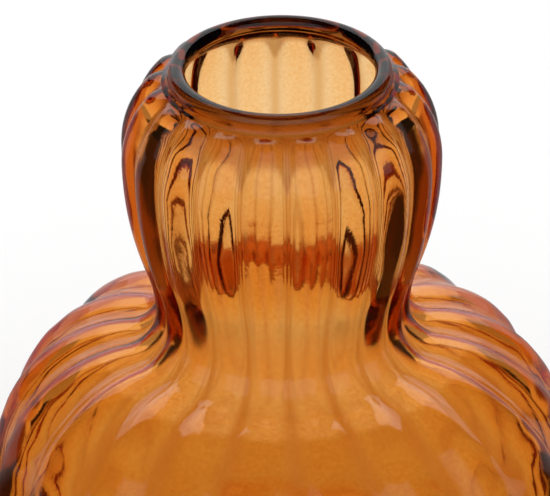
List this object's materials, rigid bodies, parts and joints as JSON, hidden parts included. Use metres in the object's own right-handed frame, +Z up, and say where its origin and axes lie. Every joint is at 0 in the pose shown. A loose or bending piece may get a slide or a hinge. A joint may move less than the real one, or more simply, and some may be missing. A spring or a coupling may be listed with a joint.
{
  "type": "gourd vase",
  "caption": "Ribbed amber glass vase shaped like a double gourd, with a wide lower bulb, a drawn-in waist, a smaller upper bulb and a rounded bead round its open mouth, for holding cut flowers.",
  "frame": {"origin": "centre of the vase on the surface it stands on", "axes": "+Z up along the vase's axis through the mouth, a rib valley faces -Y and +X is to the right of it"},
  "size_m": [0.1848, 0.1848, 0.196],
  "materials": {
    "amber_glass": "clear, fire polished"
  },
  "bodies": {
    "root": {"gourd_body": "amber_glass", "lip_wrap": "amber_glass", "base_pad": "amber_glass"}
  },
  "joints": []
}
